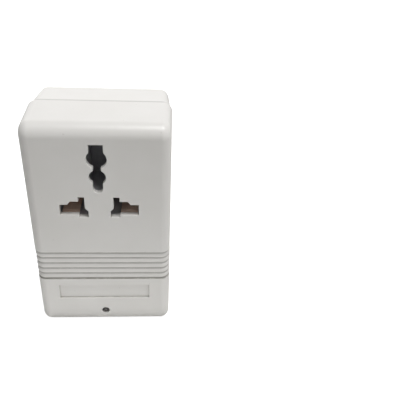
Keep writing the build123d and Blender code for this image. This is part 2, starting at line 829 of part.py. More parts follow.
def build_socket_contact(side):
    """Bent strip contact: two leaves with flared lips round the pin, joined at the back by a web."""
    start = front_inside + contact_leaf_setback
    web_back = carrier_back - carrier_floor
    web_front = web_back - contact_sheet
    inner = contact_leaf_gap / 2
    outer = inner + contact_sheet
    lip = contact_flare_length
    profile = outline_of([
        (start, inner + contact_flare), (start + lip, inner), (web_front, inner), (web_front, -inner),
        (start + lip, -inner), (start, -inner - contact_flare), (start, -outer - contact_flare),
        (start + lip, -outer), (web_back, -outer), (web_back, outer),
        (start + lip, outer), (start, outer + contact_flare),
    ])
    x = side * contact_leaf_centre
    contact = side_prism(Pos(0, pin_line) * profile, x - contact_leaf_width / 2, x + contact_leaf_width / 2)
    half = contact_sheet / 2
    contact += block(x - contact_tab_width / 2, x + contact_tab_width / 2, web_back, contact_tab_end,
                     pin_line - half, pin_line + half)
    return contact


def build_core_e_stack():
    """Stack of E-shaped core plates with two long windows, open at the top."""
    half = core_width / 2
    leg_top = core_bottom + core_height - core_unit - core_joint_gap
    window_floor = core_bottom + core_unit
    outline = outline_of([
        (-half, core_bottom), (half, core_bottom), (half, leg_top), (half - core_unit, leg_top),
        (half - core_unit, window_floor), (core_unit, window_floor), (core_unit, leg_top),
        (-core_unit, leg_top), (-core_unit, window_floor), (core_unit - half, window_floor),
        (core_unit - half, leg_top), (-half, leg_top),
    ])
    return prism(outline, core_front, core_back)


def build_core_i_stack():
    """Stack of straight core plates that closes the top."""
    half = core_width / 2
    top = core_bottom + core_height
    return block(-half, half, core_front, core_back, top - core_unit, top)


def build_core_strap():
    """Steel strap round the bottom and sides of the core, with tabs bent over its top."""
    half = core_width / 2 + core_gap
    outer = half + core_strap_thickness
    bottom = core_bottom
    top = core_bottom + core_height + core_gap
    strap = outline_of([
        (-outer, bottom - core_strap_thickness), (outer, bottom - core_strap_thickness),
        (outer, top + core_strap_thickness), (half - core_strap_tab, top + core_strap_thickness),
        (half - core_strap_tab, top), (half, top), (half, bottom), (-half, bottom), (-half, top),
        (core_strap_tab - half, top), (core_strap_tab - half, top + core_strap_thickness),
        (-outer, top + core_strap_thickness),
    ])
    return prism(strap, -core_strap_width / 2, core_strap_width / 2)


def tube_outline(margin):
    """Rounded rectangle round the core's middle leg, enlarged by a margin."""
    width = 2 * core_unit + 2 * (bobbin_clearance + margin)
    depth = core_stack + 2 * (bobbin_clearance + margin)
    if margin > 0:
        return RectangleRounded(width, depth, margin)
    return Rectangle(width, depth)


def winding_ring(inner, outer):
    """Flat-sided ring wound on the bobbin, between two margins from its bore."""
    bottom = window_bottom + bobbin_clearance + bobbin_flange + winding_gap
    top = window_bottom + window_height - bobbin_clearance - bobbin_flange - winding_gap
    return plan_prism(tube_outline(outer) - tube_outline(inner), bottom, top)


def build_bobbin():
    """Bobbin: square tube with two flanges and a raised bar for the pins."""
    bottom = window_bottom + bobbin_clearance
    top = window_bottom + window_height - bobbin_clearance
    flange_half_width = 2 * core_unit - bobbin_clearance
    form = plan_prism(tube_outline(bobbin_wall), bottom, top)
    for low in (bottom, top - bobbin_flange):
        form += block(-flange_half_width, flange_half_width, -flange_half_depth, flange_half_depth, low,
                      low + bobbin_flange)
    bar_half = pin_spacing * pin_places[-1] + pin_bar_end
    bar_bottom = top - bobbin_flange
    bar_top = bar_bottom + pin_bar_height
    bar_front = flange_half_depth - pin_bar_depth
    form += block(-bar_half, bar_half, bar_front, flange_half_depth, bar_bottom, bar_top)
    form -= plan_prism(tube_outline(0), bottom, top)
    for place in pin_places:
        form -= upright_rod(place * pin_spacing, pin_depth, top, bar_top, pin_diameter)
    return form


def build_bobbin_pins():
    """Six round pins pressed into the bobbin's bar."""
    return Compound([upright_rod(place * pin_spacing, pin_depth, pin_seat, pin_top, pin_diameter)
                     for place in pin_places])


def build_thermal_fuse():
    """Flat thermal fuse on the back of the winding, with two wire legs up to the pins."""
    high = window_bottom + window_height - thermal_fuse_drop_share * window_height
    low = high - thermal_fuse_length_share * window_height
    half = thermal_fuse_width / 2
    near = flange_half_depth
    body = block(-half, half, near, near + thermal_fuse_thickness, low, high)
    body = fillet(body.edges().filter_by(Axis.Z), thermal_fuse_round)
    leg_depth = near + thermal_fuse_thickness / 2
    leg_top = pin_top - thermal_fuse_leg_diameter
    for side in (-1, 1):
        x = side * pin_spacing
        inner = side * thermal_fuse_leg_share * thermal_fuse_width
        route = FilletPolyline((inner, leg_depth, high), (inner, leg_depth, high + thermal_fuse_leg_rise),
                               (x, leg_depth, high + 2 * thermal_fuse_leg_rise), (x, leg_depth, leg_top),
                               (x, pin_depth + pin_diameter / 2, leg_top), radius=thermal_fuse_leg_diameter)
        start = Plane(origin=route @ 0, z_dir=route % 0)
        body += sweep(start * Circle(thermal_fuse_leg_diameter / 2), path=route)
    return body


def build_led_board():
    """Small circuit board with holes for the lamp's legs."""
    board = block(-board_width / 2, board_width / 2, board_front, board_back, board_bottom,
                  board_bottom + board_height)
    for side in (-1, 1):
        x = side * lamp_leg_spacing / 2
        board -= rod(x, indicator_level, board_front, board_back, lamp_hole_diameter)
    return board


def build_indicator_lamp():
    """Round lamp with a domed nose, a base flange and two square legs through the board."""
    nose = front_face + lamp_setback
    base = nose + lamp_length
    body = rod(0, indicator_level, nose, base, lamp_diameter)
    body = fillet(body.edges().sort_by(Axis.Y)[0], lamp_diameter / 2 - lamp_nose_flat)
    body += rod(0, indicator_level, base - lamp_flange_thickness, base, lamp_flange_diameter)
    half = lamp_leg_width / 2
    for side in (-1, 1):
        x = side * lamp_leg_spacing / 2
        body += block(x - half, x + half, base, board_back + component_leg_reach / 2,
                      indicator_level - half, indicator_level + half)
    return body


def axial_component(x, level, diameter, length):
    """Round body lying across the board on two bent wire legs."""
    depth = board_back + component_lift + diameter / 2
    body = cross_rod(depth, level, x - length / 2, x + length / 2, diameter)
    body = fillet(body.edges(), component_round_share * diameter)
    reach = length / 2 + component_leg_reach
    for side in (-1, 1):
        start = (x + side * length / 2, depth, level)
        knee = (x + side * reach, depth, level)
        end = (x + side * reach, board_back, level)
        route = FilletPolyline(start, knee, end, radius=component_leg_diameter)
        section = Plane(origin=route @ 0, z_dir=route % 0) * Circle(component_leg_diameter / 2)
        body += sweep(section, path=route)
    return body


def lead(points, diameter, name):
    """Insulated wire: straight runs joined by arcs as large as the runs allow."""
    radii = []
    for before, corner, after in zip(points, points[1:], points[2:]):
        run_in = Vector(*corner) - Vector(*before)
        run_out = Vector(*after) - Vector(*corner)
        half_turn = run_in.get_angle(run_out) * pi / 360
        radii.append(lead_bend_share * min(run_in.length, run_out.length) / tan(half_turn))
    route = FilletPolyline(*points, radius=radii)
    section = Plane(origin=route @ 0, z_dir=route % 0) * Circle(diameter / 2)
    wire = sweep(section, path=route)
    expected = route.length * pi * diameter ** 2 / 4
    print(name, "length", round(route.length, 1), "bends", [round(radius, 2) for radius in radii],
          "volume share", round(wire.volume / expected, 4))
    return wire


def build_sticker():
    """Bare round sticker on the back, below the grooves."""
    return rod(0, sticker_level, back_face, back_face + sticker_thickness, sticker_diameter)


def pin_spot(place, rise):
    """Point over a bobbin pin, at a rise above its top."""
    return (place * pin_spacing, pin_depth, pin_top + rise)


def terminal_spot(column, row, depth):
    """Point behind a switch terminal, at a depth."""
    return (column * selector_travel, depth, selector_level + row * terminal_row_spacing / 2)


inner_lane = cover_back + inner_lane_gap
outer_lane = cover_back + outer_lane_gap
lamp_lane = back_inside - lamp_lane_gap
lamp_end_level = board_bottom + lamp_lead_rise
output_turn = contact_tab_end + output_lead_reach
lamp_turn = lamp_turn_rise + lamp_turn_step
lead_routes = {
    "live_input_lead": (lead_diameter, [
        (blade_reach, blade_tab_end, blade_middle), (blade_reach, inner_lane, blade_middle),
        terminal_spot(1, -1, inner_lane), terminal_spot(1, -1, terminal_tail_end)]),
    "common_lead": (lead_diameter, [
        (-blade_reach, blade_tab_end, blade_middle), (-blade_reach, outer_lane, blade_middle),
        (-2 * pin_spacing, outer_lane, pin_top + tap_turn_rise), pin_spot(-2, tap_turn_rise),
        pin_spot(-2, lead_end_gap)]),
    "low_tap_lead": (lead_diameter, [
        terminal_spot(-1, -1, terminal_tail_end), terminal_spot(-1, -1, outer_lane),
        (-pin_spacing, outer_lane, pin_top + tap_turn_rise), pin_spot(-1, tap_turn_rise),
        pin_spot(-1, lead_end_gap)]),
    "high_tap_lead": (lead_diameter, [
        terminal_spot(0, 1, terminal_tail_end), terminal_spot(0, 1, inner_lane),
        (pin_spacing, inner_lane, selector_level - high_tap_drop),
        (pin_spacing, outer_lane, pin_top + tap_turn_rise), pin_spot(1, tap_turn_rise),
        pin_spot(1, lead_end_gap)]),
    "live_output_lead": (lead_diameter, [
        terminal_spot(1, 1, terminal_tail_end), terminal_spot(1, 1, inner_lane),
        (contact_leaf_centre + output_lead_bulge, outer_lane, pin_line + output_lead_drop),
        (contact_leaf_centre, output_turn, pin_line), (contact_leaf_centre, contact_tab_end, pin_line)]),
    "neutral_output_lead": (lead_diameter, [
        (-contact_leaf_centre, contact_tab_end, pin_line), (-contact_leaf_centre, output_turn, pin_line),
        pin_spot(-3, tap_turn_rise), pin_spot(-3, lead_end_gap)]),
    "lamp_lead_plus": (lamp_lead_diameter, [
        pin_spot(2, lead_end_gap), pin_spot(2, lamp_turn_rise),
        (2 * pin_spacing, lamp_lane, pin_top + lamp_turn_rise),
        (lamp_plus_lane, lamp_lane, lamp_end_level), (lamp_plus_lane, board_back, lamp_end_level)]),
    "lamp_lead_minus": (lamp_lead_diameter, [
        pin_spot(3, lead_end_gap), pin_spot(3, lamp_turn), (3 * pin_spacing, lamp_lane, pin_top + lamp_turn),
        (lamp_minus_lane, lamp_lane, lamp_end_level), (lamp_minus_lane, board_back, lamp_end_level)]),
}

parts = {
    "front_casing": build_front_casing(),
    "rear_casing": build_rear_casing(),
    "plug_insert": build_plug_insert(),
    "live_blade": build_blade(1),
    "neutral_blade": build_blade(-1),
    "selector_knob": build_selector_knob(),
    "selector_contact": build_selector_contact(),
    "switch_body": build_switch_body(),
    "switch_terminals": build_switch_terminals(),
    "switch_frame": build_switch_frame(),
    "case_screws": build_case_screws(),
    "cover_screws": build_cover_screws(),
    "contact_carrier": build_contact_carrier(),
    "contact_cover": build_contact_cover(),
    "live_contact": build_socket_contact(1),
    "neutral_contact": build_socket_contact(-1),
    "core_e_stack": build_core_e_stack(),
    "core_i_stack": build_core_i_stack(),
    "core_strap": build_core_strap(),
    "bobbin": build_bobbin(),
    "bobbin_pins": build_bobbin_pins(),
    "primary_winding": winding_ring(bobbin_wall + winding_gap, primary_outer),
    "winding_tape": winding_ring(primary_outer + winding_gap, tape_outer),
    "secondary_winding": winding_ring(tape_outer + winding_gap, secondary_outer),
    "thermal_fuse": build_thermal_fuse(),
    "led_board": build_led_board(),
    "indicator_lamp": build_indicator_lamp(),
    "led_resistor": axial_component(-component_shift, board_bottom + resistor_level_rise, resistor_diameter,
                                    resistor_length),
    "led_diode": axial_component(-component_shift, board_bottom + diode_level_rise, diode_diameter,
                                 diode_length),
    "round_sticker": build_sticker(),
}
for name, (diameter, points) in lead_routes.items():
    parts[name] = lead(points, diameter, name)

os.makedirs("parts", exist_ok=True)
for name, shape in parts.items():
    export_step(shape, f"parts/{name}.step")
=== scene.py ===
# %% [markdown]
# Travel voltage converter
#
# This file dresses a finished mechanical model. The housing, the plug blades, the selector and everything
# inside come from the CAD frame at their real size, so nothing here moves or resizes them. What is added is
# what an eye needs: a camera, soft light, a floor, a finish for every piece and a few finely modelled pieces.
#
# The frame is loaded first.

# %% Load the frame
import math
import bpy
import bmesh
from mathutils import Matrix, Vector


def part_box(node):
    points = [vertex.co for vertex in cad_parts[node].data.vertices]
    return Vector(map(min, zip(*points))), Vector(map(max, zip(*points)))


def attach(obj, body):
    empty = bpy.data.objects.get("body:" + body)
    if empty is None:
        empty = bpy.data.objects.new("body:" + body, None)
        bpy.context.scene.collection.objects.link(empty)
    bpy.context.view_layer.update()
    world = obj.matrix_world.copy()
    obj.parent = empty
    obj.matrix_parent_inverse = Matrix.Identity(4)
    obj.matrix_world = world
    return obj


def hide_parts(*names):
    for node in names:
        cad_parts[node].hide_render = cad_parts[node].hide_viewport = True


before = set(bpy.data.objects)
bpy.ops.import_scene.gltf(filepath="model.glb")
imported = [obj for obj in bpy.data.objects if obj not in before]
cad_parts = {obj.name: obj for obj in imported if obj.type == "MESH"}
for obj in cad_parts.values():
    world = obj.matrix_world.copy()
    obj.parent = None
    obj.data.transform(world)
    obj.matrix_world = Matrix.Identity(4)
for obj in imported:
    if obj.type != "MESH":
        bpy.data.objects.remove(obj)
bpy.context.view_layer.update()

MM = 0.001

# %% [markdown]
# Camera
#
# The camera stands in front of the socket face, a little to the right, and looks down at it by about 32
# degrees. Its place, its small roll and its lens were worked out by matching known corners of the real
# object, such as the socket slots and the rib band, with the same corners of the model. A lens of 48 mm on
# a 36 mm sensor, quite close to the object, is what gives the strong narrowing towards the foot.

# %% Camera
camera_data = bpy.data.cameras.new("camera")
camera_data.sensor_width = 36
camera_data.lens = 47.857
camera = bpy.data.objects.new("camera", camera_data)
camera.location = (22.61 * MM, -186.8 * MM, 166.53 * MM)
camera.rotation_euler = (math.radians(57.7656), math.radians(-2.6011), math.radians(-3.3530))
camera_data.clip_start = 5 * MM
bpy.context.scene.collection.objects.link(camera)
bpy.context.scene.camera = camera
bpy.context.scene.view_settings.view_transform = "Standard"
print("camera lens:", camera_data.lens)

# %% [markdown]
# Two helpers for materials
#
# Colours are written as the hex values that a screen shows. Blender calculates with linear light, so one
# function turns them. The second helper adds a shader node, sets its values and links its inputs in one
# line, which keeps each material short enough to read.

# %% Helpers
def linear(hex_colour):
    """sRGB hex colour as the linear values that Blender calculates with."""
    values = []
    for start in (1, 3, 5):
        share = int(hex_colour[start:start + 2], 16) / 255
        values.append(share / 12.92 if share <= 0.04045 else ((share + 0.055) / 1.055) ** 2.4)
    return (*values, 1.0)


def add(tree, kind, inputs=(), **settings):
    """Add one node. Inputs are pairs of a socket and a value or another node's output."""
    node = tree.nodes.new("ShaderNode" + kind)
    for name, value in settings.items():
        setattr(node, name, value)
    for socket, value in dict(inputs).items():
        if isinstance(value, bpy.types.NodeSocket):
            tree.links.new(value, node.inputs[socket])
        else:
            node.inputs[socket].default_value = value
    return node


def start_material(name, **values):
    """New material with a Principled shader; values are set on the shader's own sockets."""
    material = bpy.data.materials.new(name)
    material.use_nodes = True
    tree = material.node_tree
    shader = tree.nodes["Principled BSDF"]
    for socket, value in values.items():
        shader.inputs[socket.replace("_", " ")].default_value = value
    return material, tree, shader


print("test of linear:", [round(value, 3) for value in linear("#808080")])

# %% [markdown]
# Patterns that every finish draws on
#
# All patterns are placed by object coordinates, in metres, so a grain size can be written in millimetres.
# A noise texture's scale is how many grains fit in a metre: one divided by the grain size. A stretched
# grain, such as a brushed line, comes from scaling the coordinates along one axis first. Noise seldom comes
# near 0 or 1, so its middle part is stretched before it drives a colour or a roughness.

# %% Pattern helpers
MIX_FIRST, MIX_SECOND, MIX_RESULT = 6, 7, 2  # the Mix node's sockets for colours
NOISE_LOW, NOISE_HIGH = 0.3, 0.7


def place(tree, stretch=(1, 1, 1)):
    """Object coordinates, stretched along the axes."""
    coordinates = add(tree, "TexCoord").outputs["Object"]
    return add(tree, "Mapping", {"Vector": coordinates, "Scale": stretch}).outputs["Vector"]


def grain(tree, size_mm, detail=2.0, stretch=(1, 1, 1)):
    """Noise whose grains have a real size in millimetres."""
    return add(tree, "TexNoise", {"Vector": place(tree, stretch), "Scale": 1 / (size_mm * MM),
                                  "Detail": detail, "Roughness": 0.55}).outputs["Fac"]


def remap(tree, value, low, high, to_low=0.0, to_high=1.0):
    """Stretch a range of a pattern to another range."""
    return add(tree, "MapRange", {"Value": value, "From Min": low, "From Max": high, "To Min": to_low,
                                  "To Max": to_high}).outputs["Result"]


def calculate(tree, operation, *values):
    """One sum on numbers or node outputs, such as SUBTRACT or MULTIPLY."""
    return add(tree, "Math", dict(enumerate(values)), operation=operation).outputs[0]


def blend(tree, share, first, second):
    """Mix two colours by a share; a colour is hex text or another node's output."""
    first, second = (linear(colour) if isinstance(colour, str) else colour for colour in (first, second))
    mix = add(tree, "Mix", {"Factor": share, MIX_FIRST: first, MIX_SECOND: second}, data_type="RGBA")
    return mix.outputs[MIX_RESULT]


def drift(tree, size_mm, detail, first, second):
    """Slow change between two near tones, as a batch of material or a worn surface has."""
    return blend(tree, remap(tree, grain(tree, size_mm, detail), NOISE_LOW, NOISE_HIGH), first, second)


def patchy_gloss(tree, shader, size_mm, lowest, highest):
    """Roughness that changes from patch to patch."""
    gloss = remap(tree, grain(tree, size_mm, 3.0), NOISE_LOW, NOISE_HIGH, lowest, highest)
    tree.links.new(gloss, shader.inputs["Roughness"])


def edge_mask(tree, radius_mm):
    """White near sharp edges: there the rounded normal turns away from the true one."""
    rounded = add(tree, "Bevel", {"Radius": radius_mm * MM}, samples=4).outputs["Normal"]
    true = add(tree, "NewGeometry").outputs["Normal"]
    facing = add(tree, "VectorMath", {0: rounded, 1: true}, operation="DOT_PRODUCT").outputs["Value"]
    return remap(tree, facing, 0.995, 0.90)


def relief(tree, shader, height, depth_mm, strength):
    """Fine relief from a pattern."""
    bump = add(tree, "Bump", {"Height": height, "Distance": depth_mm * MM, "Strength": strength})
    tree.links.new(bump.outputs["Normal"], shader.inputs["Normal"])


print("a 2 mm grain has scale", 1 / (2 * MM))

# %% [markdown]
# Casing plastic: ABS, injection moulded and lightly polished
#
# The two casings are warm white ABS. Moulded ABS is a dielectric with an IOR near 1.53. The mould was
# polished but not mirror bright, so reflections are soft: the roughness wanders between 0.29 and 0.40. A real
# moulding shows a slow drift of tone, faint smears, a skin texture of half a millimetre and a few specks from
# handling. Each of these is one weak pattern on top of the last.
#
# Shade is painted on top, one function for each. Corners are darkened in a dust-like tone where ambient
# occlusion finds them, once widely and once closely for the small steps of a recess. Painted shade lies
# behind
# the seam: a thin line on the sides, and a wider, fading band on the top. And painted shade lies in the
# valleys of the ribs, more on the front half than on the rear one. The paler rubbed edges also paint a
# highlight.

# %% Casing plastic
FRONT_HALF_DEPTH = 22 * MM
SEAM_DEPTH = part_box("front_casing")[0][1] + FRONT_HALF_DEPTH
LOWEST_VALLEY = 24.1 * MM
VALLEY_PITCH = 2.56 * MM
VALLEY_COUNT = 6
BAND_HEIGHT = (VALLEY_COUNT - 1) * VALLEY_PITCH
BAND_MARGIN = 0.6 * MM
BAND_FADE = 0.1 * MM
# Reaches of the painted shade in corners and in the small steps of a recess, found by ambient occlusion.
CORNER_REACH = 1.6 * MM
STEP_REACH = 0.45 * MM
# Reaches and strength of the painted shade behind the seam.
SEAM_SHADE_ON_SIDES = 0.35 * MM
SEAM_SHADE_ON_TOP = 2.5 * MM
SEAM_SHADE_STRENGTH = 0.95
SEAM_START = 0.05 * MM
# Strength of the painted shade in the rib valleys on the front and back halves, how it fades between them,
# and the valley's floor and side.
VALLEY_SHADE_FRONT = 0.56
VALLEY_SHADE_BACK = 0.22
VALLEY_SHADE_FADE = 8 * MM
VALLEY_FLOOR = 0.22 * MM
VALLEY_SIDE = 0.50 * MM
# Tones of the painted corner shade, the painted step shade, the specks, the dark painted shade by the seam
# and in the valleys, and the paler rubbed edges, which also paint a highlight.
PAINTED_CORNER_SHADE, PAINTED_STEP_SHADE, SPECK, PAINTED_DARK_SHADE, RUBBED_EDGE_AND_HIGHLIGHT = "#B9B6AE", "#9A978F", "#9C968C", "#8E8B85", "#F1F0EC"
CASING_SMOOTHEST, CASING_ROUGHEST = 0.29, 0.40


def openness(tree, reach):
    """1 on an open face and less in a corner, as far as the reach."""
    return add(tree, "AmbientOcclusion", {"Distance": reach}, samples=8, only_local=True).outputs["AO"]


def seam_painted_shade(tree, depth):
    """Share of painted shade behind the seam: thin on the sides, wide and fading on faces that look up."""
    facing_up = add(tree, "SeparateXYZ", {0: add(tree, "TexCoord").outputs["Normal"]}).outputs["Z"]
    reach = remap(tree, facing_up, 0.2, 0.8, SEAM_SHADE_ON_SIDES, SEAM_SHADE_ON_TOP)
    from_seam = calculate(tree, "SUBTRACT", depth, SEAM_DEPTH)
    thinning = remap(tree, calculate(tree, "DIVIDE", from_seam, reach), 0.0, 1.0, SEAM_SHADE_STRENGTH, 0.0)
    return calculate(tree, "MULTIPLY", thinning, remap(tree, from_seam, -SEAM_START, SEAM_START))


def valley_painted_shade(tree, depth, height):
    """Share of painted shade in the valleys between the ribs, found by their even pitch."""
    from_lowest = calculate(tree, "SUBTRACT", height, LOWEST_VALLEY)
    from_valley = calculate(tree, "PINGPONG", from_lowest, VALLEY_PITCH / 2)
    strength = remap(tree, depth, SEAM_DEPTH - VALLEY_SHADE_FADE, SEAM_DEPTH + VALLEY_SHADE_FADE,
                     VALLEY_SHADE_FRONT, VALLEY_SHADE_BACK)
    in_valley = remap(tree, from_valley, VALLEY_FLOOR, VALLEY_SIDE, strength, 0.0)
    from_band = calculate(tree, "ABSOLUTE", calculate(tree, "SUBTRACT", from_lowest, BAND_HEIGHT / 2))
    band_edge = BAND_HEIGHT / 2 + BAND_MARGIN
    in_band = remap(tree, from_band, band_edge, band_edge + BAND_FADE, 1.0, 0.0)
    return calculate(tree, "MULTIPLY", in_valley, in_band)


def make_casing_plastic(name, pale, dull):
    """Moulded ABS: tone drift, painted shade in corners, specks, painted shade by the seam and in the
    valleys, rubbed edges that also paint a highlight.
    """
    material, tree, shader = start_material(name, IOR=1.53, Metallic=0.0)
    spot = add(tree, "SeparateXYZ", {0: add(tree, "TexCoord").outputs["Object"]}).outputs
    colour = drift(tree, 26.0, 3.0, pale, dull)
    rubbed = calculate(tree, "MULTIPLY", edge_mask(tree, 0.35), remap(tree, grain(tree, 4.0), 0.45, 0.65))
    # Each layer is the share of it that shows at a spot, from 0 to 1, and its colour.
    layers = (
        # Painted shade in corners and in the small steps of a recess, in dust-like tones.
        (remap(tree, openness(tree, CORNER_REACH), 0.25, 0.85, 0.55, 0.0), PAINTED_CORNER_SHADE),
        (remap(tree, openness(tree, STEP_REACH), 0.60, 0.97, 0.40, 0.0), PAINTED_STEP_SHADE),
        (remap(tree, grain(tree, 1.1, 1.0), 0.205, 0.185, 0.0, 0.25), SPECK),
        # Painted shade behind the seam and in the valleys of the ribs.
        (seam_painted_shade(tree, spot["Y"]), PAINTED_DARK_SHADE),
        (valley_painted_shade(tree, spot["Y"], spot["Z"]), PAINTED_DARK_SHADE),
        # Paler rubbed edges: wear, and at once a painted highlight along the edges.
        (rubbed, RUBBED_EDGE_AND_HIGHLIGHT),
    )
    for share, layer_colour in layers:
        colour = blend(tree, share, colour, layer_colour)
    tree.links.new(colour, shader.inputs["Base Color"])
    smears = grain(tree, 9.0, 4.0, (1, 1, 2.2))
    gloss = remap(tree, smears, 0.35, 0.65, CASING_SMOOTHEST, CASING_ROUGHEST)
    tree.links.new(gloss, shader.inputs["Roughness"])
    relief(tree, shader, grain(tree, 0.45, 1.5), 0.010, 0.5)
    return material


abs_casing = make_casing_plastic("abs_moulded_satin", "#EDEBE8", "#E8E6E2")
abs_insert = make_casing_plastic("abs_moulded_insert", "#EBE9E5", "#E5E3DE")
print("made", abs_casing.name, abs_insert.name)

# %% [markdown]
# Textured mouldings
#
# These pieces come straight from a textured mould and are seldom polished. The contact carrier behind the
# socket is a grey thermoplastic. So little light gets in through the slots that it looks nearly black there,
# and a black carrier would leave the slots without any form inside. The knob is black nylon with a slight
# blue cast and paler edges from use. The switch base is brown phenolic, a pressed and cured resin with a
# fine mottled filler, and the diode is black epoxy.

# %% Textured mouldings
MOTTLE_PER_GRAIN = 6  # a mottle of the tone is this many mould grains wide


def make_moulding(name, deep, light, roughness, grain_mm, worn):
    """Moulded plastic with a mottled tone, mould texture and paler rubbed edges."""
    material, tree, shader = start_material(name, IOR=1.52)
    tone = drift(tree, grain_mm * MOTTLE_PER_GRAIN, 3.0, deep, light)
    rubbed = blend(tree, edge_mask(tree, 0.2), tone, worn)
    tree.links.new(rubbed, shader.inputs["Base Color"])
    patchy_gloss(tree, shader, 3.0, roughness - 0.06, roughness + 0.08)
    relief(tree, shader, grain(tree, grain_mm, 2.0), 0.015, 0.6)
    return material


# Name, two near tones, roughness, size of the mould's grain in mm, tone of rubbed edges.
carrier_plastic = make_moulding("thermoplastic_moulded_grey", "#B2B2B6", "#BCBCC0", 0.45, 0.4, "#C5C5C8")
knob_nylon = make_moulding("nylon_moulded_black", "#1D1D26", "#252530", 0.34, 0.3, "#3C3C48")
switch_phenolic = make_moulding("phenolic_pressed_brown", "#38261B", "#4A3425", 0.5, 0.25, "#5E4634")
diode_epoxy = make_moulding("epoxy_moulded_black", "#161616", "#212121", 0.45, 0.15, "#2D2D2D")
print("made", carrier_plastic.name, knob_nylon.name, switch_phenolic.name, diode_epoxy.name)

# %% [markdown]
# Metals: plated, bare and tarnished
#
# The blades are stamped from brass strip and bright nickel plated. Bright nickel is a warm grey mirror: full
# metallic, and a roughness near 0.17. Each time the plug is pushed in, the outlet drags fine scratches along
# the blade, so the scratches here are grains stretched forty times along the depth. At the tip and along
# the edges the plating wears thin and a little brass shows.
#
# The socket contacts are rolled brass that was left bare and has tarnished. Oxide reflects less like a mirror
# than clean metal does, so their metallic value is only partly up. They are seen deep in the slots alone,
# where each bounce of light makes a brass tone darker and browner, so the tone that is written is pale.
# Switch terminals are tinned, and sheet parts and screws are zinc plated, which is duller and bluer.

# %% Metals
def make_metal(name, bright, dull, roughness, stretch, scratch_mm, worn, wear_share=0.5, metallic=1.0):
    """Bare or plated metal with drawn or worn lines, a patchy tone and worn edges."""
    material, tree, shader = start_material(name, Metallic=metallic)
    tone = drift(tree, 5.0, 4.0, bright, dull)
    patchy = remap(tree, grain(tree, 1.2, 3.0), 0.4, 0.62, 0.0, wear_share)
    rubbed = calculate(tree, "MULTIPLY", edge_mask(tree, 0.18), patchy)
    tree.links.new(blend(tree, rubbed, tone, worn), shader.inputs["Base Color"])
    lines = grain(tree, scratch_mm, 3.0, stretch)
    gloss = remap(tree, lines, 0.3, 0.72, roughness * 0.7, roughness * 1.5)
    tree.links.new(gloss, shader.inputs["Roughness"])
    relief(tree, shader, lines, 0.004, 0.5)
    return material


# Directions of the fine lines: a small factor along an axis draws the grains out along it.
along_depth = (1.0, 0.025, 1.0)
along_width = (0.04, 1.0, 1.0)
no_direction = (1.0, 1.0, 1.0)
# Name, bright and dull tone, roughness, direction and width in mm of the lines, what wear shows, its share.
nickel_plate = make_metal("nickel_plated_brass", "#B6B2AA", "#98948C", 0.17, along_depth, 0.12, "#B99A62")
contact_brass = make_metal("brass_rolled_tarnished", "#EFDDD0", "#DCC6B8", 0.45, along_depth, 0.15,
                           "#CDA988", metallic=0.4)
spring_bronze = make_metal("phosphor_bronze_strip", "#C08E5C", "#A87648", 0.28, along_width, 0.1, "#D2A070")
tinned_brass = make_metal("brass_tinned", "#CFCFCB", "#B4B4AF", 0.3, no_direction, 0.3, "#BDA06B", 0.3)
zinc_sheet = make_metal("steel_zinc_plated_sheet", "#C3C6C8", "#A9ADB0", 0.33, no_direction, 0.8,
                        "#8C8F91", 0.4)
screw_steel = make_metal("steel_zinc_plated_screw", "#B9BCBF", "#97999B", 0.3, no_direction, 0.2, "#6F7071")
print("made", nickel_plate.name, contact_brass.name, zinc_sheet.name)

# %% [markdown]
# Transformer finishes
#
# The core plates are silicon steel with a thin dark varnish, so they look like dull metal under a satin
# film. The wire is copper under a clear enamel, which gives a warm orange metal with a soft gloss. The
# plates and the turns are modelled further down, so these finishes only carry tone, gloss and fine lines.

# %% Transformer finishes
core_steel = make_metal("silicon_steel_varnished", "#55565A", "#35363A", 0.42, no_direction, 0.5,
                        "#7C7D80", 0.4, metallic=0.8)
copper_wire = make_metal("copper_wire_enamelled", "#B86E40", "#8E4C28", 0.3, no_direction, 0.6,
                         "#D69A6A", 0.2, metallic=0.85)
print("made", core_steel.name, copper_wire.name)

# %% [markdown]
# Small plain plastics, film and coatings
#
# The remaining finishes inside are all dielectrics that differ in colour, gloss and grain: natural nylon on
# the bobbin, PVC on the wires, phenolic paper under the lamp, film tape round the winding, smoked resin on
# the lamp. One function makes them, and each is called with what is special about it.

# %% Small plain finishes
def make_plain(name, colour, second, roughness, tone_mm, skin_mm, skin_depth_mm, **values):
    """Plain dielectric: two near tones, patchy gloss and a fine skin."""
    material, tree, shader = start_material(name, **values)
    tree.links.new(drift(tree, tone_mm, 3.0, colour, second), shader.inputs["Base Color"])
    patchy_gloss(tree, shader, tone_mm / 2, roughness - 0.06, roughness + 0.07)
    relief(tree, shader, grain(tree, skin_mm, 2.0), skin_depth_mm, 0.6)
    return material


# Name, two near tones, roughness, size of tone patches, size and depth of the skin's grain (all in mm).
bobbin_nylon = make_plain("nylon_natural", "#E3DDCB", "#D6CFBA", 0.45, 4.0, 0.4, 0.01, IOR=1.53)
fuse_body = make_plain("fuse_body_moulded", "#D2CABB", "#C3BAA8", 0.5, 2.0, 0.3, 0.01, IOR=1.5)
board_laminate = make_plain("phenolic_paper_laminate", "#B08A4E", "#9A7640", 0.5, 1.2, 0.25, 0.01, IOR=1.55)
lamp_resin = make_plain("epoxy_smoked", "#575350", "#494644", 0.25, 1.5, 0.3, 0.004, IOR=1.54,
                        Transmission_Weight=0.35)
wire_red = make_plain("pvc_extruded_red", "#A01F18", "#8C1A14", 0.35, 5.0, 0.4, 0.01, IOR=1.54)
wire_black = make_plain("pvc_extruded_black", "#222222", "#191919", 0.35, 5.0, 0.4, 0.01, IOR=1.54)
wire_yellow = make_plain("pvc_extruded_yellow", "#D2A92A", "#C29A22", 0.35, 5.0, 0.4, 0.01, IOR=1.54)
wire_blue = make_plain("pvc_extruded_blue", "#24478F", "#1D3C7C", 0.35, 5.0, 0.4, 0.01, IOR=1.54)
